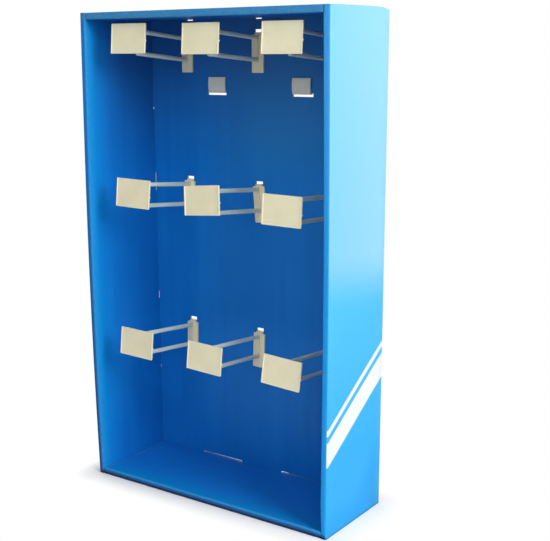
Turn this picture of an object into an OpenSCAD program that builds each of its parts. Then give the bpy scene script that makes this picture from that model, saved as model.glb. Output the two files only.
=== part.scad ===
// Display tray folded from one sheet of printed corrugated board, open at the front, with nine
// moulded label hooks in a three by three grid and two hanger clips in the back panel.
// Millimetres, +Z up, the open front faces -Y. Origin: middle of the underside.

/* [Tray] */
// Outside width, left to right
tray_w = 330; // [280:1:400]
// Outside height
tray_h = 555; // [500:1:660]
// Outside depth, from the front lip to the rear face
tray_d = 117; // [100:1:140]
// Thickness of the corrugated board
board_t = 2; // [1.6:0.1:2.4]
// Width of the front lip on the top and bottom walls
end_lip_w = 7.6; // [6.5:0.1:9]
// Outer radius of the two creases on each front lip
fold_r = 2; // [1:0.1:2.2]
// Clearance between neighbouring layers of board
slip = 0.2; // [0.15:0.05:0.3]
// Length of the corner flaps tucked inside the side walls
flap_len = 62; // [40:1:80]
// Taper of each corner flap, on both of its edges
flap_taper = 6; // [2:0.5:10]
// Width of the small notches in the back panel under the top wall
notch_w = 10; // [6:0.5:14]
// Height of the small notches
notch_h = 2.2; // [1:0.1:3]
// Distance from the middle notch to the outer ones
notch_x = 99; // [92:0.5:106]

/* [Lock tabs] */
// Length of each lock tab of a side wall
side_tab = 90; // [60:1:110]
// Distance from mid height to the middle of each side lock tab
side_tab_z = 120; // [110:1:150]
// Length of each lock tab of a top or bottom wall
end_tab = 56; // [40:1:66]
// Distance from the middle to the centre of each top or bottom lock tab
end_tab_x = 60; // [50:1:80]
// Free length of each lock slot beyond both ends of its tab
tab_play = 2.4; // [1:0.1:4]
// Corner cut on the tip of each lock tab
tab_cut = 1.2; // [0.5:0.1:1.5]

/* [Hook grid] */
// Distance between neighbouring hook columns
column = 102.5; // [88:0.5:106]
// Distance from the tray top down to the upper arms of the top row
top_row_drop = 29.5; // [29:0.5:40]
// Distance from the top row down to the middle row
mid_row_drop = 172; // [140:1:180]
// Distance from the middle row down to the low row
low_row_drop = 178; // [140:1:190]
// Slope of each top row hook's arms, left to right, in degrees
top_rises = [5.5, 4.9, 4.8]; // [3:0.1:6]
// Slope of each middle row hook's arms, left to right, in degrees
mid_rises = [5.5, 5.2, 3.7]; // [3:0.1:6]
// Slope of each low row hook's arms, left to right, in degrees
low_rises = [5.3, 4.4, 5.1]; // [3:0.1:6]
// Sideways set of each top row hook's arms, to the right, in degrees
top_swings = [1, 0.1, 0.6]; // [-2:0.1:2]
// Sideways set of each middle row hook's arms, to the right, in degrees
mid_swings = [0.6, -1.1, 0.4]; // [-2:0.1:2]
// Sideways set of each low row hook's arms, to the right, in degrees
low_swings = [-0.5, -1.1, 0.2]; // [-2:0.1:2]
// Lean of each top row hook in its slot, left to right, in degrees
top_leans = [0, 0, 0]; // [-5:0.1:5]
// Lean of each middle row hook in its slot, left to right, in degrees
mid_leans = [1.2, -4.7, 0.8]; // [-5:0.1:5]
// Lean of each low row hook in its slot, left to right, in degrees
low_leans = [1.5, 2.2, 3.4]; // [-5:0.1:5]

/* [Hook] */
// Thickness of the moulded hook walls
hook_t = 2.2; // [1.8:0.1:2.6]
// Width of the back plate that bears on the panel
back_w = 16; // [14:0.5:20]
// Length of the back plate below the upper arm
back_drop = 38.5; // [34:0.5:44]
// Height of the back plate shoulders above the upper arm
shoulder_h = 4; // [3.5:0.1:4.4]
// Width of the neck that passes through the slot
neck_w = 9; // [7:0.5:11]
// Height of the top of the neck above the upper arm
neck_h = 6.4; // [6.2:0.1:8]
// Length of the lug turned down behind the panel
lug_len = 12; // [8:0.5:16]
// Open height of each hook slot above the neck
slot_open = 4.5; // [3:0.1:6]
// Play of the neck in its slot, below and to each side
neck_play = 0.5; // [0.45:0.05:0.8]
// Outer radius of the bends in the strap
bend_r = 1.6; // [0.8:0.1:1.7]
// Lead-in cut on the tip of the lug
lug_lead = 1; // [0.5:0.1:1.2]
// Radius of the lower corners of the back plate
back_r = 1.5; // [0.5:0.1:3]
// Gap between a moulding and the face it bears on
seat = 0.15; // [0.1:0.05:0.2]
// Width of both arms
arm_w = 4; // [3.4:0.1:5]
// Height of both arms
arm_h = 5; // [4.8:0.1:5.6]
// Distance between the axes of the two arms
arm_gap = 24.4; // [22:0.1:26]
// Width of the web on the back plate between the arms
web_w = 3; // [2.4:0.1:3.4]
// Depth of the web in front of the back plate
web_d = 2.8; // [2:0.1:4]
// Depth of the hollow in the front edge of the web
web_dip = 1.2; // [0.6:0.1:1.6]
// Distance from the front of the tray back to the label plate
label_back = 7; // [5:0.5:12]
// Distance from the label plate back to the tip of the lower arm
tip_back = 12; // [8:0.5:16]

/* [Label plate] */
// Width of the label plate
label_w = 48.8; // [44:0.2:54]
// Height of the label plate
label_h = 32.6; // [30:0.2:34]
// Distance from the upper arm axis down to the middle of the label plate
label_drop = 9.7; // [9:0.1:11]
// Width of the raised rim on the sides and bottom of the label plate
rim_w = 1.2; // [0.8:0.1:1.6]
// Height of the raised rim
rim_h = 0.5; // [0.3:0.1:0.8]
// Size of the nib on the right edge of the label plate
nib = 0.9; // [0.6:0.1:1.2]
// Share of the label height from its top to the nib
nib_share = 0.58; // [0.5:0.01:0.7]
// Corner radius of the label plate
label_r = 0.8; // [0.4:0.1:1.2]

/* [Hanger clip] */
// Distance from the middle to each hanger slot
clip_x = 60; // [40:1:70]
// Distance from the tray top down to the top edge of each hanger slot
clip_drop = 89.5; // [89:0.5:110]
// Width of the clip
clip_w = 24.4; // [20:0.2:28]
// Play of the clip in its slot, to each side
clip_play = 1.4; // [1.2:0.1:2]
// Set of each clip in its slot, towards the middle
clip_set = 1.1; // [0:0.1:1.1]
// Thickness of the clip
clip_t = 1.6; // [1.2:0.1:2]
// Height of the sprung tongue above its slot
tongue_h = 16.4; // [14:0.2:22]
// Bow of the tongue away from the panel
tongue_bow = 1; // [0.6:0.1:2]
// Open height of the slot below the clip
clip_open = 3; // [2:0.1:5]
// Length of the leg up behind the panel
leg_len = 13; // [10:0.5:16]
// Outer radius of the two bends of the clip
clip_r = 1.6; // [0.8:0.1:1.7]

/* [Hidden] */
$fn = 64;
// Overrun of cuts past the faces they open
over = 1;
half_w = tray_w / 2;
front_y = -tray_d / 2;
rear_y = tray_d / 2;
panel_y = rear_y - board_t;
// Outer board, tucked flap and inner board with clearance on both sides of the flap
side_lip_w = 3 * board_t + 2 * slip;
side_in = half_w - side_lip_w;
inner_end_y = panel_y - slip;
end_half = side_in - slip;
flap_out = half_w - board_t - slip;
flap_front = front_y + board_t + slip;
top_row_z = tray_h - top_row_drop;
mid_row_z = top_row_z - mid_row_drop;
row_z = [top_row_z, mid_row_z, mid_row_z - low_row_drop];
leans = [top_leans, mid_leans, low_leans];
rises = [top_rises, mid_rises, low_rises];
swings = [top_swings, mid_swings, low_swings];
reach = panel_y - front_y - label_back;
neck_low = neck_h - hook_t;
lean_z = neck_low;
hook_slot_w = neck_w + 2 * neck_play;
hook_slot_h = neck_play + hook_t + slot_open;
plate_t = hook_t - rim_h;
web_r = (arm_gap * arm_gap / 4 + web_dip * web_dip) / (2 * web_dip);
clip_z = tray_h - clip_drop;
clip_slot_w = clip_w + 2 * clip_play;
clip_slot_h = slip + clip_t + clip_open;
tongue_low = -slip - clip_t;
tongue_half = (tongue_h + slip) / 2;
tongue_r = (tongue_half * tongue_half + tongue_bow * tongue_bow) / (2 * tongue_bow);
BLUE = [0.06, 0.45, 0.8];
IVORY = [0.85, 0.82, 0.71];
GREY = [0.79, 0.79, 0.77];

// Waste outside a rounded crease or bend with its corner at the origin
module crease_cut(radius) {
    difference() {
        translate([-over, -over])
            square([over + radius, over + radius]);
        translate([radius, radius])
            circle(r = radius);
    }
}

// Rolled wall seen along its crease: outer board from the rear edge, front lip, inner board
module rolled_section(lip) {
    difference() {
        square([lip, tray_d]);
        translate([board_t, board_t])
            square([lip - 2 * board_t, tray_d]);
        translate([-over, tray_d - board_t - slip])
            square([lip - board_t + over, tray_d]);
        crease_cut(fold_r);
        translate([lip, 0])
            mirror([1, 0])
                crease_cut(fold_r);
    }
}

// Lock tab in its own plane, rooted in the inner board and cut at both tip corners
module lock_tab(len) {
    polygon([[-len / 2, -board_t], [len / 2, -board_t], [len / 2, board_t + slip - tab_cut],
        [len / 2 - tab_cut, board_t + slip], [tab_cut - len / 2, board_t + slip],
        [-len / 2, board_t + slip - tab_cut]]);
}

// Right side wall with its two lock tabs
module side_wall() {
    difference() {
        translate([side_in, front_y, 0])
            linear_extrude(height = tray_h)
                rolled_section(side_lip_w);
        for (edge_z = [-over, tray_h - board_t - slip])
            translate([side_in - over, front_y + board_t, edge_z])
                cube([side_lip_w - board_t + over, tray_d, board_t + slip + over]);
    }
    for (s = [-1, 1])
        translate([side_in, inner_end_y, tray_h / 2 + s * side_tab_z])
            rotate([90, 0, 90])
                linear_extrude(height = board_t)
                    rotate(-90)
                        mirror([1, 0])
                            lock_tab(side_tab);
}

// Top wall with its two lock tabs and the corner flaps tucked into the side walls
module end_wall() {
    translate([-end_half, front_y, tray_h - end_lip_w])
        rotate([90, 0, 90])
            linear_extrude(height = 2 * end_half)
                mirror([1, -1])
                    rolled_section(end_lip_w);
    translate([-flap_out, flap_front, tray_h - board_t])
        cube([2 * flap_out, rear_y - flap_front, board_t]);
    for (s = [-1, 1])
        translate([s * (flap_out - board_t / 2) - board_t / 2, 0, tray_h])
            rotate([90, 0, 90])
                linear_extrude(height = board_t)
                    polygon([[flap_front, 0], [flap_front, -board_t], [flap_front + flap_taper, -flap_len],
                        [inner_end_y - flap_taper, -flap_len], [inner_end_y, -board_t], [inner_end_y, 0]]);
    for (s = [-1, 1])
        translate([s * end_tab_x, inner_end_y, tray_h - end_lip_w])
            linear_extrude(height = board_t)
                lock_tab(end_tab);
}

// Flat back panel with its lock slots, hook slots, hanger slots and notches
module panel_outline() {
    difference() {
        translate([-half_w, 0])
            square([tray_w, tray_h]);
        for (sx = [-1, 1], sz = [-1, 1])
            translate([sx * (side_in + board_t / 2), tray_h / 2 + sz * side_tab_z])
                square([board_t + 2 * slip, side_tab + 2 * tab_play], center = true);
        for (sx = [-1, 1], edge_z = [end_lip_w, tray_h - end_lip_w + board_t])
            translate([sx * end_tab_x, edge_z - board_t / 2])
                square([end_tab + 2 * tab_play, board_t + 2 * slip], center = true);
        for (z = row_z, sx = [-1, 0, 1])
            translate([sx * column - hook_slot_w / 2, z + neck_low - neck_play])
                square([hook_slot_w, hook_slot_h]);
        for (sx = [-1, 1])
            translate([sx * clip_x - clip_slot_w / 2, clip_z - clip_slot_h])
                square([clip_slot_w, clip_slot_h]);
        for (sx = [-1, 0, 1])
            translate([sx * notch_x - notch_w / 2, tray_h - end_lip_w - notch_h])
                square([notch_w, notch_h]);
    }
}

module back_panel() {
    translate([0, rear_y, 0])
        rotate([90, 0, 0])
            linear_extrude(height = board_t)
                panel_outline();
}

// Waste outside the rounded creases round the back panel
module rear_crease_cuts() {
    for (m = [0, 1])
        mirror([m, 0, 0])
            translate([half_w, rear_y, -over])
                rotate(180)
                    linear_extrude(height = tray_h + 2 * over)
                        crease_cut(fold_r);
    for (m = [0, 1])
        translate([-half_w - over, rear_y, m * tray_h])
            mirror([0, 0, m])
                rotate([90, 0, 90])
                    linear_extrude(height = tray_w + 2 * over)
                        mirror([1, 0])
                            crease_cut(fold_r);
}

// The whole folded sheet
module tray() {
    color(BLUE)
        difference() {
            union() {
                back_panel();
                side_wall();
                mirror([1, 0, 0])
                    side_wall();
                end_wall();
                translate([0, 0, tray_h])
                    mirror([0, 0, 1])
                        end_wall();
            }
            rear_crease_cuts();
        }
}

// Arm with rounded top and bottom edges, running forward from the middle of the back plate
module arm(length) {
    root = seat + hook_t / 2;
    round_z = (arm_h - arm_w) / 2;
    translate([0, -root, 0])
        rotate([90, 0, 0])
            linear_extrude(height = length - root) {
                square([arm_w, 2 * round_z], center = true);
                for (s = [-1, 1])
                    translate([0, s * round_z])
                        circle(d = arm_w);
            }
}

// Label plate outline with small corner radii and the nib on its right edge
module label_outline() {
    square([label_w - 2 * label_r, label_h], center = true);
    square([label_w, label_h - 2 * label_r], center = true);
    for (sx = [-1, 1], sz = [-1, 1])
        translate([sx * (label_w / 2 - label_r), sz * (label_h / 2 - label_r)])
            circle(r = label_r);
    translate([label_w / 2, label_h / 2 - label_h * nib_share])
        square(2 * nib, center = true);
}

// Label plate with a shallow pocket in its front, open at the top
module label_plate() {
    translate([0, hook_t, 0])
        rotate([90, 0, 0])
            difference() {
                linear_extrude(height = hook_t)
                    label_outline();
                translate([rim_w - label_w / 2, rim_w - label_h / 2, plate_t])
                    linear_extrude(height = rim_h + over)
                        square([label_w - 2 * rim_w, label_h]);
            }
}

// Back plate outline with square shoulders and rounded lower corners
module back_outline() {
    translate([-back_w / 2, back_r - back_drop])
        square([back_w, back_drop + shoulder_h - back_r]);
    translate([back_r - back_w / 2, -back_drop])
        square([back_w - 2 * back_r, back_r]);
    for (s = [-1, 1])
        translate([s * (back_w / 2 - back_r), back_r - back_drop])
            circle(r = back_r);
}

// Strap seen from its end: neck up the panel face, bend over the slot edge, lug down behind
module strap_section() {
    depth = board_t + 2 * seat + 2 * hook_t;
    translate([-seat - hook_t, neck_h - lug_len])
        difference() {
            square([depth, lug_len]);
            translate([hook_t, -over])
                square([depth - 2 * hook_t, over + lug_len - hook_t]);
            for (m = [0, 1])
                translate([m * depth, lug_len])
                    mirror([m, 0])
                        mirror([0, 1])
                            crease_cut(bend_r);
            translate([depth - hook_t, 0])
                polygon([[-over, -over], [lug_lead + over, -over], [lug_lead, 0], [0, 2 * lug_lead],
                    [-over, 2 * lug_lead]]);
        }
}

// Web between the arms, standing on the back plate, with a hollowed front edge
module web() {
    translate([-web_w / 2, -seat - hook_t, -arm_gap / 2])
        rotate([90, 0, 90])
            linear_extrude(height = web_w)
                difference() {
                    translate([-web_d, -arm_gap / 2])
                        square([web_d + hook_t / 2, arm_gap]);
                    translate([web_dip - web_d - web_r, 0])
                        circle(r = web_r, $fn = 180);
                }
}

// One moulded hook, origin on the panel face at the upper arm axis
module hook_body(rise, swing) {
    translate([0, -seat, 0])
        rotate([90, 0, 0])
            linear_extrude(height = hook_t)
                back_outline();
    translate([-neck_w / 2, 0, 0])
        rotate([90, 0, 90])
            linear_extrude(height = neck_w)
                strap_section();
    web();
    rotate([-rise, 0, swing]) {
        arm(reach - hook_t / 2);
        translate([0, -reach, -label_drop])
            label_plate();
    }
    translate([0, 0, -arm_gap])
        rotate([-rise, 0, swing])
            arm(reach - hook_t - tip_back);
}

// Hook hung in the slot of the given row and column, leaning about its neck
module hook(row, col) {
    color(IVORY)
        translate([(col - 1) * column, panel_y, row_z[row] + lean_z])
            rotate([0, leans[row][col], 0])
                translate([0, 0, -lean_z])
                    hook_body(rises[row][col], swings[row][col]);
}

module hook_top_left() {
    hook(0, 0);
}

module hook_top_mid() {
    hook(0, 1);
}

module hook_top_right() {
    hook(0, 2);
}

module hook_mid_left() {
    hook(1, 0);
}

module hook_mid_mid() {
    hook(1, 1);
}

module hook_mid_right() {
    hook(1, 2);
}

module hook_low_left() {
    hook(2, 0);
}

module hook_low_mid() {
    hook(2, 1);
}

module hook_low_right() {
    hook(2, 2);
}

// Clip seen from its end: bowed tongue in front, throat under the slot edge, leg up behind
module clip_section() {
    depth = board_t + 2 * seat + 2 * clip_t;
    intersection() {
        translate([tongue_r - tongue_bow - seat, tongue_half - slip])
            difference() {
                circle(r = tongue_r + clip_t, $fn = 180);
                circle(r = tongue_r, $fn = 180);
            }
        translate([-tongue_r, -slip])
            square([tongue_r, 2 * tongue_half]);
    }
    translate([-seat - clip_t, tongue_low])
        difference() {
            square([depth, clip_t + slip + leg_len]);
            translate([clip_t, clip_t])
                square([depth - 2 * clip_t, clip_t + slip + leg_len]);
            translate([-over, clip_t])
                square([clip_t + 2 * over, clip_t + slip + leg_len]);
            for (m = [0, 1])
                translate([m * depth, 0])
                    mirror([m, 0])
                        crease_cut(clip_r);
        }
}

module hanger(side) {
    color(GREY)
        translate([side * (clip_x - clip_set) - clip_w / 2, panel_y, clip_z])
            rotate([90, 0, 90])
                linear_extrude(height = clip_w)
                    clip_section();
}

module hanger_left() {
    hanger(-1);
}

module hanger_right() {
    hanger(1);
}

tray();
hook_top_left();
hook_top_mid();
hook_top_right();
hook_mid_left();
hook_mid_mid();
hook_mid_right();
hook_low_left();
hook_low_mid();
hook_low_right();
hanger_left();
hanger_right();
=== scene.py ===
import math

import bmesh
import bpy
from mathutils import Matrix, Vector


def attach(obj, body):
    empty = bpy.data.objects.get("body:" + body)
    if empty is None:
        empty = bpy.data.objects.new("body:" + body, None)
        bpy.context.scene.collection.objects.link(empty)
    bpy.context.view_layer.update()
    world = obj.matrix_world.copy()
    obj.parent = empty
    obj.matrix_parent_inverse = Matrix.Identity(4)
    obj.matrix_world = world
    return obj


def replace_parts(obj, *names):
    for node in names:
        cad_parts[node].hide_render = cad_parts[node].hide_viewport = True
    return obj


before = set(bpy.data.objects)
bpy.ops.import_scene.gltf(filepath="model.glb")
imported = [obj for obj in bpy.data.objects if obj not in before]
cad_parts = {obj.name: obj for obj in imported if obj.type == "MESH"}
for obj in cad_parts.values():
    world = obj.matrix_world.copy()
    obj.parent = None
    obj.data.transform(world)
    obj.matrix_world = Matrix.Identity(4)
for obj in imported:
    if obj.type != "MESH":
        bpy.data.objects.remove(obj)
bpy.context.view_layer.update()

# Folded tray, in metres, as in the part's source
HALF_W = 0.165
TALL = 0.555
FRONT = -0.0585
REAR = 0.0585
BOARD = 0.002
SLIP = 0.0002
PANEL = REAR - BOARD
SIDE_LIP = 3 * BOARD + 2 * SLIP
END_LIP = 0.0076
SIDE_IN = HALF_W - SIDE_LIP
END_HALF = SIDE_IN - SLIP
FLAP_OUT = HALF_W - BOARD - SLIP
FLAP_FRONT = FRONT + BOARD + SLIP
FLAP_LEN = 0.062
# Radii of the creases: outer right edge, inner side edges, other edges of the lips, round the back panel
LIP_OUT_R, LIP_SOFT_R, LIP_IN_R, REAR_R = 0.0022, 0.0014, 0.0012, 0.002
# Steps of each rounded crease, and the least turn of a fold, in radians
CREASE_STEPS, FOLD_TURN = 4, 1.0
# Cells of the boards, so that they can bend: across, along the depth and up
WRAP_CELLS, END_CELLS = (14, 9, 30), (24, 8)
# Lock tabs: length and distance from the middle, then the free length of a slot beyond its tab
SIDE_TAB, SIDE_TAB_Z = 0.090, 0.120
END_TAB, END_TAB_X = 0.056, 0.060
TAB_PLAY = 0.0024
# Notches under the top wall: middles, width, depth into the back panel, lift of the sheet above them
NOTCHES = (-0.099, 0.0, 0.099)
NOTCH_W, NOTCH_LOW, NOTCH_LIFT = 0.009, 0.0008, 0.0004
# Heights between which the left lock slots are worn open past their tabs: slot end, tab end
TORN_SLOTS = ((0.342, 0.364), (0.212, 0.203))
# Height of the bottom lock slots above the floor sheet, and where the right one closes again
LOW_SLOT_OPEN, LOW_SLOT_END = 0.0007, 0.041
# Slots for the hooks, each row with the top of its slots, and for the hanger clips
COLUMNS = (-0.1025, 0.0, 0.1025)
ROWS = ((0.5255, 0.0098), (0.3535, 0.0097), (0.1755, 0.0105))
HOOK_SLOT_W, HOOK_SLOT_LOW = 0.010, 0.0037
CLIP_X, CLIP_SLOT_TOP, CLIP_SLOT_W, CLIP_SLOT_H = 0.060, 0.4655, 0.0272, 0.0043
# Bow of the free front edges, left and right, its growth to the front and the power that lowers the left peak
BOW_LEFT, BOW_RIGHT, BOW_GROWTH, BOW_LOWER = 0.0039, 0.0014, 1.2, 0.88
# Slow waves in the side boards: depth, and turn per metre of height
WAVE, WAVE_TURN = 0.00035, 31.0
# Sag of the floor's inner sheet at its rear edge, how far it reaches to each side and its growth to the rear
SAG, SAG_REACH, SAG_GROWTH = 0.0011, 0.100, 0.7
# Places on the left inner sheet's rear edge that stand off their lock slot, or over it where the
# distance is negative: height, reach, distance
SLOT_GAPS = ((0.353, 0.020, -0.00015), (0.209, 0.012, -0.0001), (0.4462, 0.004, 0.0016))
# Shares of the tray's depth, from the rear, over which those gaps and the lifts over the notches die out
GAP_DEPTH, LIFT_DEPTH = 0.3, 0.2
# Extra width of the right lip: all the way up, at the top, where the second starts, where the first is full
LIP_EASE, LIP_SPREAD, SPREAD_FROM, EASE_LEN = 0.0015, 0.0011, 0.325, 0.02
TOP_END = END_HALF - LIP_SPREAD - LIP_EASE
# Crushed corner at the top right of the rear: length along the depth, drop, reach across the width, height
CRUSH_LEN, CRUSH_DROP, CRUSH_REACH, CRUSH_TALL = 0.017, 0.0032, 0.090, 0.012
# Turn of the board's flutes per metre
FLUTE_TURN = 2 * math.pi / 0.0052
# Least part of a normal that counts as facing a way, and thickness of the outer right side's print and painted
# light
FACING, SIDE_SKIN = 0.5, 0.0009
# Depth over which the print is painted paler towards the front edges, as painted light coming in at the open
# front, its growth, and depth of the lips' own print and painted light
PALE_DEPTH, PALE_GROWTH, LIP_SKIN = 0.042, 1.7, 0.0014
# Fade on the outer right side, partly print and partly painted light and sheen: lower end, upper end and lean
# with the depth
FADE_LOW, FADE_HIGH, FADE_LEAN = 0.240, 0.308, 0.12
# Slanting bars on that side: heights of their edges at mid depth, and lean with the depth
BARS, BAR_LEAN = ((0.118, 0.146), (0.153, 0.160)), -0.62
# Shares of the raw edge's thickness: swing of the flutes, half their web, distance of the liners from the middle
FLUTE_SWING, WEB_HALF, LINER_FROM = 0.32, 0.13, 0.38
# Painted reflection (sheen) high on the right of the back panel: where it sets in across and up, and its strength
BACK_SHEEN_X, BACK_SHEEN_Z, BACK_SHEEN = (-0.08, 0.01), (0.34, 0.42), 0.9
# Painted shade under the top wall: where it sets in across, along the depth and up, its share at the right and
# the front, its strength
TOP_SHADE_X, TOP_SHADE_Y, TOP_SHADE_Z = (0.03, 0.14), (FRONT, 0.02), (0.38, 0.51)
TOP_SHADE_RIGHT, TOP_SHADE_FRONT, TOP_SHADE = 0.35, 0.15, 0.43
# Width over which the floor is painted paler, as painted light and sheen towards the right
FLOOR_LIGHT_X = (-0.20, 0.12)
# Foot of the outer right side: heights over which it turns paler, lift of its painted shade at the rear and
# height of that, height of the painted shade in the rear corner and its start along the depth, painted shade
# along the fold and its strength
SIDE_RISE, FOOT_LIFT, FOOT_TALL = (0.09, 0.24), 0.070, 0.035
CORNER_TALL, CORNER_FROM, FOLD_LINE, FOLD_DARK = 0.045, 0.025, (0.0010, 0.0034), 0.5
# Right lip, painted lighter as painted light: where its tone starts across, and the heights over which it turns
# paler
RIGHT_LIP, LIP_RISE = 0.150, (0.25, 0.50)
# Scuffs on the creases, with a painted highlight: part of the noise that shows, strength, and painted highlight
# between them
SCUFF_SPAN, SCUFF, CREASE_HIGHLIGHT = (0.42, 0.75), 0.22, 0.04
# Painted highlight on the inner crease of the bottom lip: upward turn, top and strength
HIGHLIGHT_TURN, HIGHLIGHT_TOP, BOTTOM_HIGHLIGHT = (0.1, 0.7), 0.010, 0.45
# Painted shade: heights and strength along the foot, share of the width, heights and strengths on the left lip,
# upward turn and strength along the top edge, heights and strength of a painted contact shadow round the
# underside
FOOT_SHADE = (((0.0020, 0.0040), 1.0), ((0.0026, 0.0068), 0.9))
LEFT_SHADE_X, LEFT_SHADE_Z, LEFT_SHADE = (0.3, 0.75), (0.0, 0.45), (0.85, 0.1)
TOP_EDGE_SHADE_TURN, TOP_EDGE_SHADE = (0.3, 0.9), 0.3
UNDER_LINE, UNDER_SHADE = (0.0004, 0.0016), 0.4
# Softened edges of the moulded pieces: radius, steps, and the turns that count as flat and as an edge, in degrees
EDGE_R, EDGE_STEPS, FLAT_TURN, EDGE_TURN = 0.00025, 2, 0.5, 40.0
# Ends of the hooks' arms along the depth, each with its blend, and the strength of their cooler tone, partly a
# whiter plastic and partly painted blue light bounced off the tray
ARMS_FRONT, ARMS_REAR, ARMS_TONE = (-0.046, -0.036), (0.050, 0.040), 0.8
# Angles up to which light runs smoothly over the board and the plastic, in degrees
BOARD_SMOOTH, PLASTIC_SMOOTH = 32.0, 50.0
TINY = 1e-6

# Tones inside: the print where it is deep and fresh, a painted reflection high on the back panel, painted shade
# under the top wall, painted light on the floor and near the front
INK_DEEP, INK_FRESH = (0.0036, 0.143, 0.50, 1.0), (0.0060, 0.170, 0.55, 1.0)
BACK_SHEEN_TONE, TOP_SHADE_TONE = (0.0157, 0.190, 0.51, 1.0), (0.024, 0.030, 0.120, 1.0)
FLOOR_LIGHT_TONE, FRONT_LIGHT_TONE = (0.0105, 0.185, 0.62, 1.0), (0.0016, 0.225, 0.55, 1.0)
# Tones of the outer right side, painted paler partly as painted light and sheen: below the fade, painted shade in
# the deep parts of its foot, above the fade, on the bars
SIDE_LOW, SIDE_MID = (0.014, 0.290, 0.64, 1.0), (0.047, 0.340, 0.655, 1.0)
SIDE_FOOT_SHADE, SIDE_CORNER_SHADE = (0.004, 0.254, 0.60, 1.0), (0.003, 0.205, 0.46, 1.0)
SIDE_FOLD_SHADE = (0.02, 0.10, 0.22, 1.0)
SKY_FRONT, SKY_REAR = (0.150, 0.390, 0.67, 1.0), (0.205, 0.432, 0.68, 1.0)
BAR_WHITE = (0.57, 0.60, 0.61, 1.0)
# Tones of the lips: most of them, the top one with a painted reflection, low and high on the right one as painted
# light
LIP_PLAIN, LIP_TOP_SHEEN = (0.010, 0.180, 0.50, 1.0), (0.034, 0.200, 0.44, 1.0)
LIP_RIGHT_LIT_LOW, LIP_RIGHT_LIT_HIGH = (0.004, 0.262, 0.70, 1.0), (0.040, 0.285, 0.68, 1.0)
# Tones of the wear and of the painted highlights and shade
SCUFF_AND_HIGHLIGHT, BOTTOM_HIGHLIGHT_TONE = (0.10, 0.38, 0.72, 1.0), (0.05, 0.34, 0.70, 1.0)
SHADE_TONE = (0.0015, 0.016, 0.085, 1.0)
# Tones of the raw edge, with painted shade in its hollows, and of the plastics
PAPER_DARK, PAPER_PALE = (0.26, 0.40, 0.60, 1.0), (0.38, 0.52, 0.70, 1.0)
HOLLOW_SHADE = (0.08, 0.13, 0.21, 1.0)
IVORY_DARK, IVORY_LIGHT = (0.70, 0.655, 0.46, 1.0), (0.76, 0.715, 0.505, 1.0)
ARMS_PLASTIC_AND_BOUNCE = (0.56, 0.68, 0.61, 1.0)
GREY_DARK, GREY_LIGHT = (0.56, 0.565, 0.50, 1.0), (0.62, 0.625, 0.56, 1.0)

# Noises, each with its scale and detail: in the print, in raw paper and in plastic
CLOUDS, STREAKS, SCUFFS, FIBRE, SHEEN = (7.0, 3.0), (60.0, 2.0), (420.0, 4.0), (900.0, 3.0), (26.0, 3.0)
PULP = (1500.0, 3.0)
FLOW, GRAIN, POLISH = (38.0, 3.0), (2600.0, 2.0), (140.0, 3.0)
# Part of a noise that is spread over its whole range, pull of the streaks along z, and their strength
NOISE_SPAN, STREAK_PULL, STREAK = (0.3, 0.7), (1.0, 1.0, 0.06), 0.35
# Roughness of the varnish, and how far that of the plastics goes down and up
VARNISH, POLISH_DOWN, POLISH_UP = (0.34, 0.44), 0.05, 0.06
# Depths of the flutes under the print, of the fibre and grain, and of the raw edge
FLUTE_DEPTH, GRAIN_DEPTH, EDGE_DEPTH = 0.00001, 0.00002, 0.0002

# Lamps, aimed at one place: name, degrees right of the front and above the floor, distance, size, power
LAMPS_AIM = (0.0, 0.0, 0.28)
LAMPS = (("key", 80.5, 27.0, 1.9, 1.1, 47.0), ("fill", 22.0, 33.0, 2.0, 2.0, 22.0),
         ("rear", 236.0, 24.0, 2.2, 1.6, 17.0))
# Camera: place, degrees right of the front and above the floor, roll, sensor and lens in millimetres, shift
CAMERA_AT, CAMERA_WAY, CAMERA_ROLL = (0.70467, -0.94811, 0.51496), (35.8925, 13.6266), -0.5317
SENSOR, LENS, SHIFT = 36.0, 68.82, (0.0545, 0.0585)
# Floor: half its width, tone, and distance from the tray at which it is white; light of the air out of sight
FLOOR_HALF, FLOOR_TONE, FLOOR_FADE, AIR_LIGHT = 6.0, (0.80, 0.80, 0.80, 1.0), 0.03, 0.03


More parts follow.
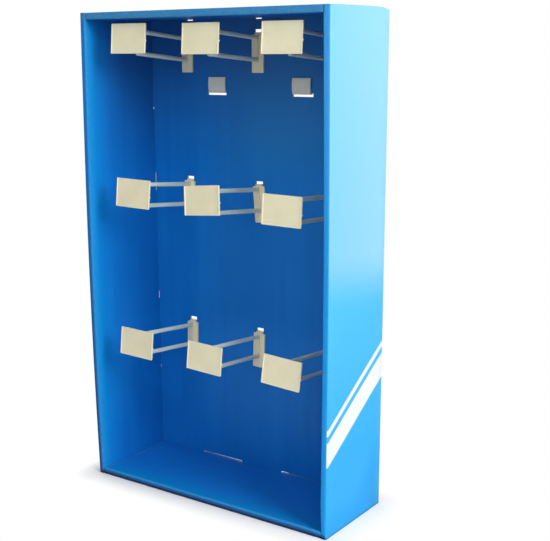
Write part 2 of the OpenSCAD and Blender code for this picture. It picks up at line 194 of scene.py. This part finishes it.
class Finish:
    """One material and the nodes that feed its shader."""

    def __init__(self, name):
        self.material = bpy.data.materials.new(name)
        self.material.use_nodes = True
        self.tree = self.material.node_tree
        self.shader = self.tree.nodes["Principled BSDF"]
        self.place = self.node("ShaderNodeTexCoord")

    def node(self, kind, **settings):
        made = self.tree.nodes.new(kind)
        for name, value in settings.items():
            setattr(made, name, value)
        return made

    def feed(self, socket, value):
        if isinstance(value, bpy.types.NodeSocket):
            self.tree.links.new(value, socket)
        else:
            socket.default_value = value

    def math(self, operation, *values, clamp=False):
        made = self.node("ShaderNodeMath", operation=operation, use_clamp=clamp)
        for socket, value in zip(made.inputs, values):
            self.feed(socket, value)
        return made.outputs[0]

    def times(self, first, *others):
        for other in others:
            first = self.math("MULTIPLY", first, other)
        return first

    def absolute(self, value):
        return self.math("ABSOLUTE", value)

    def above(self, value, limit):
        return self.math("GREATER_THAN", value, limit)

    def below(self, value, limit):
        return self.math("LESS_THAN", value, limit)

    def between(self, value, low, high):
        return self.times(self.above(value, low), self.below(value, high))

    def split(self, socket):
        made = self.node("ShaderNodeSeparateXYZ")
        self.feed(made.inputs[0], socket)
        return made.outputs[0], made.outputs[1], made.outputs[2]

    def pick(self, factor, first, second):
        made = self.node("ShaderNodeMix")
        for index, value in zip((0, 2, 3), (factor, first, second)):
            self.feed(made.inputs[index], value)
        return made.outputs[0]

    def blend(self, factor, first, second):
        made = self.node("ShaderNodeMix", data_type="RGBA")
        for index, value in zip((0, 6, 7), (factor, first, second)):
            self.feed(made.inputs[index], value)
        return made.outputs[2]

    def ramp(self, value, low, high, to_low=0.0, to_high=1.0, kind="LINEAR"):
        made = self.node("ShaderNodeMapRange", interpolation_type=kind)
        for socket, number in zip(made.inputs, (value, low, high, to_low, to_high)):
            self.feed(socket, number)
        return made.outputs[0]

    def noise(self, scale, detail=2.0, stretch=(1.0, 1.0, 1.0)):
        mapping = self.node("ShaderNodeMapping")
        self.feed(mapping.inputs["Vector"], self.place.outputs["Object"])
        mapping.inputs["Scale"].default_value = stretch
        made = self.node("ShaderNodeTexNoise")
        self.feed(made.inputs["Vector"], mapping.outputs[0])
        made.inputs["Scale"].default_value = scale
        made.inputs["Detail"].default_value = detail
        return made.outputs[0]

    def mottle(self, scale, detail, low=0.0, high=1.0, stretch=(1.0, 1.0, 1.0)):
        return self.ramp(self.noise(scale, detail, stretch), *NOISE_SPAN, low, high)

    def attribute(self, name):
        return self.node("ShaderNodeAttribute", attribute_name=name).outputs["Fac"]

    def bump(self, height, distance, strength=1.0, under=None):
        made = self.node("ShaderNodeBump")
        made.inputs["Strength"].default_value = strength
        made.inputs["Distance"].default_value = distance
        self.feed(made.inputs["Height"], height)
        if under is not None:
            self.feed(made.inputs["Normal"], under)
        return made.outputs[0]

    def give(self, **sockets):
        for name, value in sockets.items():
            self.feed(self.shader.inputs[name.replace("_", " ")], value)
        return self.material


def inner_print_and_light(finish, x, y, z):
    """Blue print with slow clouds and streaks, with a painted reflection high on the back panel, painted shade
    under the top wall and painted light making the floor paler in places.
    """
    streak = finish.mottle(*STREAKS, -STREAK, STREAK, STREAK_PULL)
    tone = finish.math("ADD", finish.mottle(*CLOUDS), streak)
    surface_colour = finish.blend(tone, INK_DEEP, INK_FRESH)
    # Painted reflection (sheen) high on the right of the back panel
    back_sheen = finish.times(
        finish.ramp(x, *BACK_SHEEN_X), finish.ramp(z, *BACK_SHEEN_Z, 0.0, BACK_SHEEN), finish.above(y, PANEL - BOARD / 2))
    surface_colour = finish.blend(back_sheen, surface_colour, BACK_SHEEN_TONE)
    # Painted shade high inside the tray, under the top wall, less towards the right and the front
    top_shade = finish.times(
        finish.ramp(x, *TOP_SHADE_X, 1.0, TOP_SHADE_RIGHT), finish.ramp(y, *TOP_SHADE_Y, TOP_SHADE_FRONT, 1.0),
        finish.ramp(z, *TOP_SHADE_Z, 0.0, TOP_SHADE), finish.between(y, FRONT, PANEL + BOARD / 4),
        finish.below(finish.absolute(x), HALF_W - BOARD), finish.below(z, TALL - BOARD))
    surface_colour = finish.blend(top_shade, surface_colour, TOP_SHADE_TONE)
    # Painted light and sheen on the floor, paler towards the right
    floor = finish.times(
        finish.between(z, END_LIP - BOARD, END_LIP + BOARD / 4), finish.between(y, FRONT + 2 * BOARD, PANEL),
        finish.ramp(x, *FLOOR_LIGHT_X))
    return finish.blend(floor, surface_colour, FLOOR_LIGHT_TONE)


def right_side_print_and_light(finish, y, z):
    """Fade, partly print and partly painted light and sheen, from a foot darkened by painted shade up to sky
    blue, with two slanting white bars.
    """
    lower = finish.blend(finish.ramp(z, *SIDE_RISE), SIDE_LOW, SIDE_MID)
    # The foot, its rear corner and the line along its fold are painted darker as painted shade
    lift = finish.math("SUBTRACT", z, finish.ramp(y, 0.0, REAR, 0.0, FOOT_LIFT))
    lower = finish.blend(finish.ramp(lift, 0.0, FOOT_TALL, 1.0, 0.0), lower, SIDE_FOOT_SHADE)
    corner = finish.times(finish.ramp(z, 0.0, CORNER_TALL, 1.0, 0.0), finish.ramp(y, CORNER_FROM, REAR))
    lower = finish.blend(corner, lower, SIDE_CORNER_SHADE)
    lower = finish.blend(finish.ramp(z, *FOLD_LINE, FOLD_DARK, 0.0), lower, SIDE_FOLD_SHADE)
    # Higher up, and towards the rear, the side is painted paler, partly print and partly painted light and sheen
    upper = finish.blend(finish.ramp(y, FRONT, REAR), SKY_FRONT, SKY_REAR)
    leaning = finish.math("MULTIPLY_ADD", y, FADE_LEAN, z)
    sky = finish.blend(finish.ramp(leaning, FADE_LOW, FADE_HIGH, kind="SMOOTHSTEP"), lower, upper)
    slant = finish.math("ADD", z, finish.math("MULTIPLY", y, BAR_LEAN))
    bars = finish.math("MAXIMUM", *(finish.between(slant, low, high) for low, high in BARS))
    return finish.blend(bars, sky, BAR_WHITE)


def front_print_and_light(finish, surface_colour, outside, x, y, z):
    """Paler near the front edges, as painted light coming in at the open front; paler on the lips, and most of
    all up the right lip as painted light; a painted reflection on the top lip.
    """
    inside = finish.below(finish.absolute(x), HALF_W - 0.75 * BOARD)
    # Painted light: paler towards the open front, where the light comes in
    near = finish.math("POWER", finish.ramp(y, FRONT, FRONT + PALE_DEPTH, 1.0, 0.0), PALE_GROWTH)
    surface_colour = finish.blend(finish.times(inside, near), surface_colour, FRONT_LIGHT_TONE)
    # The right lip is painted lighter, and paler higher up, as painted light
    right = finish.blend(finish.ramp(z, *LIP_RISE), LIP_RIGHT_LIT_LOW, LIP_RIGHT_LIT_HIGH)
    lip_print_and_light = finish.blend(finish.above(x, RIGHT_LIP), LIP_PLAIN, right)
    # The top lip gets a painted reflection, greyer than the print
    top = finish.times(finish.above(z, TALL - END_LIP), finish.below(x, END_HALF))
    lip_print_and_light = finish.blend(top, lip_print_and_light, LIP_TOP_SHEEN)
    lip = finish.times(finish.below(y, FRONT + LIP_SKIN), finish.math("SUBTRACT", 1.0, outside))
    return finish.blend(lip, surface_colour, lip_print_and_light)


def wear_and_light(finish, surface_colour, x, y, z, upward):
    """Scuffed creases with painted highlights, and painted shade along the front edges."""
    # The creases are scuffed, and also lightened as a painted highlight on their rounding
    scuff = finish.ramp(finish.noise(*SCUFFS), *SCUFF_SPAN)
    amount = finish.math("MULTIPLY_ADD", scuff, SCUFF, CREASE_HIGHLIGHT)
    worn_and_lit = finish.math("MULTIPLY", finish.attribute("crease"), amount, clamp=True)
    surface_colour = finish.blend(worn_and_lit, surface_colour, SCUFF_AND_HIGHLIGHT)
    # The inner crease of the bottom lip gets a painted highlight
    front = finish.below(y, FRONT + LIP_OUT_R)
    highlight = finish.times(finish.ramp(upward, *HIGHLIGHT_TURN, 0.0, BOTTOM_HIGHLIGHT), finish.below(z, HIGHLIGHT_TOP), front)
    surface_colour = finish.blend(highlight, surface_colour, BOTTOM_HIGHLIGHT_TONE)
    # Painted shade along the foot of the front, on the outer part of the left lip and along the top edge
    foot = finish.math("MAXIMUM", *(finish.ramp(z, *heights, most, 0.0) for heights, most in FOOT_SHADE))
    foot = finish.times(foot, finish.below(x, HALF_W - BOARD / 2))
    left = finish.times(
        finish.ramp(finish.attribute("left_lip"), *LEFT_SHADE_X), finish.ramp(z, *LEFT_SHADE_Z, *LEFT_SHADE))
    top = finish.times(finish.ramp(upward, *TOP_EDGE_SHADE_TURN, 0.0, TOP_EDGE_SHADE), finish.above(z, TALL / 2))
    painted_shade = finish.math("MAXIMUM", foot, finish.math("MAXIMUM", left, top))
    # A thin line of painted contact shadow runs all round the underside
    under = finish.ramp(z, *UNDER_LINE, UNDER_SHADE, 0.0)
    painted_shade = finish.math("MAXIMUM", finish.times(painted_shade, front), under)
    return finish.blend(painted_shade, surface_colour, SHADE_TONE)


def printed_board():
    """Blue printed board with a satin varnish, faint flutes and lighter creases, partly scuffs and partly painted
    highlights; its colour also holds painted light, shade and reflection.
    """
    finish = Finish("printed_board")
    x, y, z = finish.split(finish.place.outputs["Object"])
    across, _, upward = finish.split(finish.place.outputs["Normal"])
    outside = finish.times(finish.above(x, HALF_W - SIDE_SKIN), finish.above(across, FACING))
    surface_colour = inner_print_and_light(finish, x, y, z)
    surface_colour = finish.blend(outside, surface_colour, right_side_print_and_light(finish, y, z))
    surface_colour = front_print_and_light(finish, surface_colour, outside, x, y, z)
    surface_colour = wear_and_light(finish, surface_colour, x, y, z, upward)
    # Flutes run up the walls, so they are counted along the depth on the sides and the width elsewhere
    along = finish.pick(finish.above(finish.absolute(across), FACING), x, y)
    flute = finish.math("SINE", finish.math("MULTIPLY", along, FLUTE_TURN))
    normal = finish.bump(flute, FLUTE_DEPTH)
    normal = finish.bump(finish.noise(*FIBRE), GRAIN_DEPTH, 0.35, normal)
    gloss = finish.mottle(*SHEEN, *VARNISH)
    return finish.give(Base_Color=surface_colour, Roughness=gloss, Normal=normal, Specular_IOR_Level=0.15)


def cut_edge():
    """Raw edge of the board: two liners with the flutes between them, and painted shade in the hollows."""
    finish = Finish("cut_edge")
    x, y, _ = finish.split(finish.place.outputs["Object"])
    depth = finish.attribute("skin")
    wave = finish.math("SINE", finish.math("MULTIPLY", finish.math("ADD", x, y), FLUTE_TURN))
    centre = finish.math("MULTIPLY_ADD", wave, FLUTE_SWING, 0.5)
    web = finish.below(finish.absolute(finish.math("SUBTRACT", depth, centre)), WEB_HALF)
    liner = finish.above(finish.absolute(finish.math("SUBTRACT", depth, 0.5)), LINER_FROM)
    paper = finish.math("MAXIMUM", web, liner)
    # The hollows between the flutes are painted dark as painted shade
    surface_colour = finish.blend(paper, HOLLOW_SHADE, finish.blend(finish.noise(*PULP), PAPER_DARK, PAPER_PALE))
    return finish.give(Base_Color=surface_colour, Roughness=0.85, Normal=finish.bump(paper, EDGE_DEPTH, 0.6))


def moulded_plastic(name, dark, light, roughness, arms=None):
    """Satin moulded plastic with a fine spark-eroded grain and slow tone changes, cooler on the arms partly as a
    whiter plastic and partly as painted blue light bounced off the tray.
    """
    finish = Finish(name)
    surface_colour = finish.blend(finish.mottle(*FLOW), dark, light)
    if arms:
        _, y, _ = finish.split(finish.place.outputs["Object"])
        # Cooler tone on the arms: partly a whiter plastic, partly painted blue light bounced off the tray
        on_arms = finish.times(finish.ramp(y, *ARMS_FRONT), finish.ramp(y, *ARMS_REAR), ARMS_TONE)
        surface_colour = finish.blend(on_arms, surface_colour, arms)
    grain = finish.bump(finish.noise(*GRAIN), GRAIN_DEPTH, 0.5)
    gloss = finish.mottle(*POLISH, roughness - POLISH_DOWN, roughness + POLISH_UP)
    return finish.give(Base_Color=surface_colour, Roughness=gloss, Normal=grain)


def cut_planes(bm, axis, places):
    """Cuts every face at the given places along one axis."""
    for place in places:
        spot, way = [0.0] * 3, [0.0] * 3
        spot[axis], way[axis] = place, 1.0
        bmesh.ops.bisect_plane(bm, geom=bm.verts[:] + bm.edges[:] + bm.faces[:], dist=TINY,
                               plane_co=spot, plane_no=way)


def drop_faces(bm, test):
    """Takes out the faces whose middle passes the test."""
    gone = [f for f in bm.faces if test(f.calc_center_median())]
    bmesh.ops.delete(bm, geom=gone, context="FACES")


def free_edges(bm, test):
    """Edges of the sheet's rim with both ends at places that pass the test."""
    return [e for e in bm.edges if e.is_boundary and all(test(v.co) for v in e.verts)]


def pull_edges(bm, edges, step):
    """Draws the given edges out into new faces."""
    made = bmesh.ops.extrude_edge_only(bm, edges=edges)
    bmesh.ops.translate(bm, verts=[g for g in made["geom"] if isinstance(g, bmesh.types.BMVert)], vec=step)


def strip_from(points):
    """A bmesh that holds one open run of edges."""
    bm = bmesh.new()
    verts = [bm.verts.new(p) for p in points]
    for first, second in zip(verts, verts[1:]):
        bm.edges.new((first, second))
    return bm


def spread(low, high, count):
    return [low + (high - low) * i / count for i in range(1, count)]


def within(value, middle, half):
    return abs(value - middle) < half


def share(value):
    return min(1.0, max(0.0, value))


def torn(z):
    return any(min(ends) < z < max(ends) for ends in TORN_SLOTS)


def wrap_strip():
    """Inner sheets, side lips, outer sides and back panel: one run of board folded round the back."""
    path = [(SIDE_IN, PANEL - SLIP), (SIDE_IN, FRONT), (HALF_W, FRONT), (HALF_W, REAR)]
    path += [(-x, y) for x, y in reversed(path)]
    bm = strip_from([(x, y, 0.0) for x, y in path])
    pull_edges(bm, bm.edges[:], (0.0, 0.0, TALL))
    half_hook, half_clip = HOOK_SLOT_W / 2, CLIP_SLOT_W / 2
    end_slot = END_TAB / 2 + TAB_PLAY
    side_slot = SIDE_TAB / 2 + TAB_PLAY
    xs, zs = [], []
    for side in (-1, 1):
        xs += [side * (SIDE_IN - SLIP), side * (SIDE_IN + BOARD + SLIP), side * FLAP_OUT]
        xs += [side * END_TAB_X + end_slot, side * END_TAB_X - end_slot]
        xs += [side * CLIP_X + half_clip, side * CLIP_X - half_clip]
        zs += [TALL / 2 + side * SIDE_TAB_Z + reach * s for reach in (side_slot, SIDE_TAB / 2) for s in (-1, 1)]
    for column in COLUMNS:
        xs += [column - half_hook, column + half_hook]
    for row, high in ROWS:
        zs += [row + HOOK_SLOT_LOW, row + high]
    zs += [CLIP_SLOT_TOP, CLIP_SLOT_TOP - CLIP_SLOT_H]
    tab_low, tab_high = END_LIP - BOARD - SLIP, END_LIP + SLIP
    zs += [tab_low, tab_high, END_LIP + LOW_SLOT_OPEN]
    zs += [TALL - tab_low, TALL - END_LIP, TALL - END_LIP - NOTCH_LOW, TALL - END_LIP + NOTCH_LIFT]
    xs += [LOW_SLOT_END]
    zs += [end for ends in TORN_SLOTS for end in ends]
    xs += [notch + s * NOTCH_W / 2 for notch in NOTCHES for s in (-1, 1)]
    zs += [BOARD, TALL - BOARD, BOARD + SLIP, TALL - BOARD - SLIP]
    cut_planes(bm, 0, xs + spread(-HALF_W, HALF_W, WRAP_CELLS[0]))
    cut_planes(bm, 2, zs + spread(0.0, TALL, WRAP_CELLS[2]))
    cut_planes(bm, 1, spread(FRONT, REAR, WRAP_CELLS[1]))

    def slot_or_trim(c):
        on_back = c.y > REAR - TINY
        on_inner = within(abs(c.x), SIDE_IN, TINY) and c.y > FRONT + TINY
        hook = any(within(c.x, k, half_hook) for k in COLUMNS)
        hook = hook and any(HOOK_SLOT_LOW < c.z - row < high for row, high in ROWS)
        clip = within(abs(c.x), CLIP_X, half_clip) and -CLIP_SLOT_H < c.z - CLIP_SLOT_TOP < 0.0
        lock_end = within(abs(c.x), END_TAB_X, end_slot)
        low_top = END_LIP + LOW_SLOT_OPEN if c.x < LOW_SLOT_END else tab_high
        lock_end = lock_end and (tab_low < c.z < low_top or tab_low < TALL - c.z < END_LIP)
        lock_side = within(abs(c.z - TALL / 2), SIDE_TAB_Z, side_slot) or (c.x < 0 and torn(c.z))
        lock_side = lock_side and SIDE_IN - SLIP < abs(c.x) < SIDE_IN + BOARD + SLIP
        notch = any(within(c.x, k, NOTCH_W / 2) for k in NOTCHES)
        notch = notch and END_LIP - NOTCH_LIFT < TALL - c.z < END_LIP + NOTCH_LOW
        fold = abs(c.x) < FLAP_OUT and not BOARD < c.z < TALL - BOARD
        trim = on_inner and not BOARD + SLIP < c.z < TALL - BOARD - SLIP
        return trim or (on_back and (hook or clip or lock_end or lock_side or notch or fold))

    def at_tab(c):
        at_rear = within(abs(c.x), SIDE_IN, TINY) and within(c.y, PANEL - SLIP, TINY)
        return at_rear and within(abs(c.z - TALL / 2), SIDE_TAB_Z, SIDE_TAB / 2 + TINY)

    drop_faces(bm, slot_or_trim)
    tabs = [e for e in free_edges(bm, at_tab)
            if e.verts[0].co.x > 0 or not torn((e.verts[0].co.z + e.verts[1].co.z) / 2)]
    pull_edges(bm, tabs, (0.0, BOARD + SLIP, 0.0))
    return bm


def end_strip(top):
    """Top or bottom wall: inner sheet, lip, outer sheet with its corner flaps, fold to the back panel."""
    path = [(PANEL - SLIP, END_LIP), (FRONT, END_LIP), (FRONT, 0.0), (REAR, 0.0), (REAR, BOARD)]
    bm = strip_from([(-FLAP_OUT, y, z) for y, z in path])
    pull_edges(bm, bm.edges[:], (2 * FLAP_OUT, 0.0, 0.0))
    xs = [-END_HALF, END_HALF, TOP_END]
    xs += [s * END_TAB_X + k * END_TAB / 2 for s in (-1, 1) for k in (-1, 1)]
    if top:
        xs += [notch + s * w * NOTCH_W for notch in NOTCHES for s in (-1, 1) for w in (0.5, 1.0)]
    cut_planes(bm, 0, xs + spread(-FLAP_OUT, FLAP_OUT, END_CELLS[0]))
    cut_planes(bm, 1, [FLAP_FRONT, PANEL - SLIP] + spread(FRONT, REAR, END_CELLS[1]))

    def beyond(c):
        past = abs(c.x) > END_HALF or (top and c.x > TOP_END)
        outer = c.z < TINY and c.y > FLAP_FRONT
        return past and not outer and c.y < REAR - TINY

    def at_tab(c):
        at_rear = within(c.y, PANEL - SLIP, TINY) and within(c.z, END_LIP, TINY)
        return at_rear and within(abs(c.x), END_TAB_X, END_TAB / 2 + TINY)

    def at_flap(c):
        return within(abs(c.x), FLAP_OUT, TINY) and c.z < TINY and c.y < PANEL - SLIP + TINY

    drop_faces(bm, beyond)
    pull_edges(bm, free_edges(bm, at_tab), (0.0, BOARD + SLIP, 0.0))
    pull_edges(bm, free_edges(bm, at_flap), (0.0, 0.0, FLAP_LEN))
    if top:
        bmesh.ops.scale(bm, vec=(1.0, 1.0, -1.0), verts=bm.verts[:])
        bmesh.ops.translate(bm, vec=(0.0, 0.0, TALL), verts=bm.verts[:])
    return bm


def crease_radius(c):
    if c.y > FRONT + TINY:
        return REAR_R
    if c.x > HALF_W - TINY:
        return LIP_OUT_R
    return LIP_SOFT_R if within(abs(c.x), SIDE_IN, TINY) else LIP_IN_R


def thicken(bm):
    """Gives the run of board its thickness, marks its two faces and rounds its creases."""
    bmesh.ops.remove_doubles(bm, verts=bm.verts[:], dist=TINY)
    bm.normal_update()
    layers = bm.verts.layers.float
    for name in ("skin", "crease", "left_lip"):
        layers.new(name)
    skin, crease, left_lip = (layers[name] for name in ("skin", "crease", "left_lip"))
    printed = set(bm.verts)
    bmesh.ops.solidify(bm, geom=bm.faces[:], thickness=BOARD)
    for vert in bm.verts:
        vert[skin] = 0.0 if vert in printed else 1.0
    # Raw edges get the second finish, apart from the ends of the top and bottom lips
    for face in bm.faces:
        rim = len({v in printed for v in face.verts}) == 2
        end = TOP_END - TINY < abs(face.calc_center_median().x) < END_HALF + TINY
        face.material_index = 1 if rim and not end else 0
    for radius in (LIP_OUT_R, LIP_SOFT_R, LIP_IN_R, REAR_R):
        bm.normal_update()
        folds = [e for e in bm.edges if e.is_manifold and all(v[skin] < 0.5 for v in e.verts)
                 and all(f.material_index == 0 for f in e.link_faces) and e.calc_face_angle() > FOLD_TURN
                 and crease_radius((e.verts[0].co + e.verts[1].co) / 2) == radius]
        rounded = bmesh.ops.bevel(bm, geom=folds, offset=radius, offset_type="OFFSET", segments=CREASE_STEPS,
                                  profile=0.5, affect="EDGES", material=-1, clamp_overlap=True)
        for vert in rounded["verts"]:
            vert[skin] = 0.0
            vert[crease] = 1.0
    bmesh.ops.dissolve_degenerate(bm, dist=TINY, edges=bm.edges[:])
    for vert in bm.verts:
        on_front = vert.co.y < FRONT + LIP_OUT_R
        vert[left_lip] = max(0.0, (-vert.co.x - SIDE_IN) / SIDE_LIP) if on_front else 0.0
        vert.co = settle(vert.co)
    return bm


def settle(co):
    """Bow, waves, sag and the crushed corner, as folded board stands after handling."""
    x, y, z = co
    forward = (REAR - y) / (REAR - FRONT)
    swell = math.sin(math.pi * share(z / TALL) ** (1.0 if x > 0 else BOW_LOWER))
    on_end_sheet = abs(x) < END_HALF + TINY and y > FRONT + LIP_IN_R
    # Side walls
    if abs(x) > SIDE_IN - SLIP / 2 and y < PANEL - SLIP / 2:
        bow = BOW_RIGHT if x > 0 else -BOW_LEFT
        wave = WAVE * math.sin(z * WAVE_TURN + x) * math.sin(math.pi * forward)
        co.x += swell * (bow * forward ** BOW_GROWTH + wave)
    # Right lip
    if x > SIDE_IN - TINY and z > END_LIP and y < PANEL - SLIP / 2:
        inward = share((HALF_W - BOARD - x) / (HALF_W - 2 * BOARD - SIDE_IN))
        ease = LIP_EASE * min(1.0, (z - END_LIP) / EASE_LEN)
        ease += LIP_SPREAD * max(0.0, (z - SPREAD_FROM) / (TALL - SPREAD_FROM))
        co.x -= ease * forward * inward
    # Left inner sheet
    if -SIDE_IN - BOARD - TINY < x < -SIDE_IN + TINY:
        for height, reach, gap in SLOT_GAPS:
            near = max(0.0, 1.0 - abs(z - height) / reach)
            co.x -= gap * near ** 0.5 * max(0.0, 1.0 - forward / GAP_DEPTH)
    # Floor sheet
    if END_LIP - BOARD - TINY < z < END_LIP + TINY and on_end_sheet:
        co.z -= SAG * max(0.0, 1.0 - abs(x) / SAG_REACH) * (1.0 - forward) ** SAG_GROWTH
    # Sheet under the top wall, over the notches
    if within(z, TALL - END_LIP + BOARD / 2, BOARD / 2 + TINY) and on_end_sheet:
        for notch in NOTCHES:
            over = share(2.0 - abs(x - notch) / (NOTCH_W / 2))
            co.z += NOTCH_LIFT * over * max(0.0, 1.0 - forward / LIFT_DEPTH)
    # Crushed corner
    if z > TALL - CRUSH_TALL:
        back = max(0.0, 1.0 - (REAR - y) / CRUSH_LEN)
        outward = max(0.0, 1.0 - (HALF_W - x) / CRUSH_REACH)
        outward *= outward * (3.0 - 2.0 * outward)
        lower = share((z - TALL + END_LIP) / (END_LIP - BOARD))
        co.z -= CRUSH_DROP * back * outward * lower
    return co


def ready(name, bm, finishes, smooth_angle):
    """Turns a bmesh into a named piece that rides on the part."""
    mesh = bpy.data.meshes.new(name)
    bm.to_mesh(mesh)
    bm.free()
    for finish in finishes:
        mesh.materials.append(finish)
    mesh.shade_smooth()
    mesh.set_sharp_from_angle(angle=math.radians(smooth_angle))
    piece = bpy.data.objects.new(name, mesh)
    bpy.context.scene.collection.objects.link(piece)
    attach(piece, "root")
    return piece


def folded_tray(finishes):
    """The whole tray: the wrapped strip with the top and bottom walls set into it."""
    bm = bmesh.new()
    for strip in (wrap_strip(), end_strip(False), end_strip(True)):
        bmesh.ops.recalc_face_normals(strip, faces=strip.faces[:])
        face = max(strip.faces, key=lambda f: f.calc_center_median().y)
        if face.normal.y < 0.0:
            bmesh.ops.reverse_faces(strip, faces=strip.faces[:])
        mesh = bpy.data.meshes.new("run_of_board")
        thicken(strip).to_mesh(mesh)
        strip.free()
        bm.from_mesh(mesh)
        bpy.data.meshes.remove(mesh)
    return ready("folded_tray", bm, finishes, BOARD_SMOOTH)


def moulded(name, node, finish):
    """A moulded piece with the sharpness taken off its edges, made from a copy of its CAD node."""
    bm = bmesh.new()
    bm.from_mesh(node.data)
    bmesh.ops.remove_doubles(bm, verts=bm.verts[:], dist=TINY)
    bmesh.ops.dissolve_limit(bm, angle_limit=math.radians(FLAT_TURN), verts=bm.verts[:], edges=bm.edges[:])
    sharp = [e for e in bm.edges if e.is_manifold and e.calc_face_angle() > math.radians(EDGE_TURN)]
    bmesh.ops.bevel(bm, geom=sharp, offset=EDGE_R, offset_type="OFFSET", segments=EDGE_STEPS, profile=0.5,
                    affect="EDGES", material=-1, clamp_overlap=False)
    bmesh.ops.dissolve_degenerate(bm, dist=TINY, edges=bm.edges[:])
    for face in bm.faces:
        face.material_index = 0
    piece = ready(name, bm, [finish], PLASTIC_SMOOTH)
    # Flat faces stay flat in the light, and only their rounded edges turn
    piece.modifiers.new("flat_faces", "WEIGHTED_NORMAL").keep_sharp = True
    return piece


board, edge = printed_board(), cut_edge()
ivory = moulded_plastic("ivory_plastic", IVORY_DARK, IVORY_LIGHT, 0.42, ARMS_PLASTIC_AND_BOUNCE)
grey = moulded_plastic("grey_plastic", GREY_DARK, GREY_LIGHT, 0.5)

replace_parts(folded_tray([board, edge]), "tray")

for name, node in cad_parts.items():
    if name.startswith("hook"):
        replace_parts(moulded("moulded_" + name, node, ivory), name)
    elif name.startswith("hanger"):
        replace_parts(moulded("moulded_" + name, node, grey), name)


def pale_floor(scene):
    """Pale floor that fades to white a little way from the tray."""
    bm = bmesh.new()
    bmesh.ops.create_grid(bm, x_segments=1, y_segments=1, size=FLOOR_HALF)
    mesh = bpy.data.meshes.new("floor")
    bm.to_mesh(mesh)
    bm.free()
    floor = bpy.data.objects.new("floor", mesh)
    scene.collection.objects.link(floor)
    finish = Finish("pale_floor")
    finish.give(Base_Color=FLOOR_TONE, Roughness=0.9, Specular_IOR_Level=0.1)
    x, y, _ = finish.split(finish.place.outputs["Object"])
    past = [finish.math("MAXIMUM", finish.math("SUBTRACT", finish.absolute(value), half), 0.0)
            for value, half in ((x, HALF_W), (y, REAR))]
    away = finish.math("SQRT", finish.math("ADD", *(finish.math("POWER", value, 2.0) for value in past)))
    path = finish.node("ShaderNodeLightPath")
    seen = finish.math("MAXIMUM", path.outputs["Is Camera Ray"], path.outputs["Is Transmission Ray"])
    white = finish.node("ShaderNodeEmission")
    blend = finish.node("ShaderNodeMixShader")
    finish.feed(blend.inputs[0], finish.times(seen, finish.ramp(away, 0.0, FLOOR_FADE)))
    finish.feed(blend.inputs[1], finish.shader.outputs[0])
    finish.feed(blend.inputs[2], white.outputs[0])
    finish.feed(finish.tree.nodes["Material Output"].inputs["Surface"], blend.outputs[0])
    mesh.materials.append(finish.material)


def studio_air(scene):
    """White where it is seen or mirrored, and a dim light otherwise."""
    world = bpy.data.worlds.new("studio_air")
    scene.world = world
    world.use_nodes = True
    tree = world.node_tree
    air = tree.nodes["Background"]
    air.inputs["Color"].default_value = (1.0, 1.0, 1.0, 1.0)
    path = tree.nodes.new("ShaderNodeLightPath")
    seen = path.outputs["Is Camera Ray"]
    for ray in ("Is Glossy Ray", "Is Transmission Ray"):
        either = tree.nodes.new("ShaderNodeMath")
        either.operation = "MAXIMUM"
        tree.links.new(seen, either.inputs[0])
        tree.links.new(path.outputs[ray], either.inputs[1])
        seen = either.outputs[0]
    level = tree.nodes.new("ShaderNodeMapRange")
    tree.links.new(seen, level.inputs[0])
    level.inputs["To Min"].default_value = AIR_LIGHT
    level.inputs["To Max"].default_value = 1.0
    tree.links.new(level.outputs[0], air.inputs["Strength"])


def way_to(azimuth, elevation):
    """Direction from the tray to a place so many degrees right of its front and above the floor."""
    az, el = math.radians(azimuth), math.radians(elevation)
    return Vector((math.sin(az) * math.cos(el), -math.cos(az) * math.cos(el), math.sin(el)))


def lamps(scene):
    """Soft light mostly from the right, some from the front and a little from behind."""
    for name, azimuth, elevation, distance, size, power in LAMPS:
        lamp = bpy.data.lights.new(name, "AREA")
        lamp.shape, lamp.size, lamp.energy = "DISK", size, power
        holder = bpy.data.objects.new(name, lamp)
        way = way_to(azimuth, elevation)
        holder.location = Vector(LAMPS_AIM) + way * distance
        holder.rotation_euler = way.to_track_quat("Z", "Y").to_euler()
        scene.collection.objects.link(holder)


def camera(scene):
    """The photo's point of view, solved from six outer corners of the tray."""
    back, roll = way_to(*CAMERA_WAY), math.radians(CAMERA_ROLL)
    right = (-back).cross(Vector((0.0, 0.0, 1.0))).normalized()
    up = right.cross(-back)
    side = right * math.cos(roll) + up * math.sin(roll)
    above = up * math.cos(roll) - right * math.sin(roll)
    lens = bpy.data.cameras.new("camera")
    lens.sensor_fit, lens.sensor_width, lens.lens = "HORIZONTAL", SENSOR, LENS
    lens.shift_x, lens.shift_y = SHIFT
    lens.clip_start = 0.05
    holder = bpy.data.objects.new("camera", lens)
    turn = Matrix((side, above, back)).transposed().to_4x4()
    holder.matrix_world = Matrix.Translation(CAMERA_AT) @ turn
    scene.collection.objects.link(holder)
    scene.camera = holder


studio = bpy.context.scene
studio.view_settings.view_transform = "Standard"
for set_up in (pale_floor, studio_air, lamps, camera):
    set_up(studio)
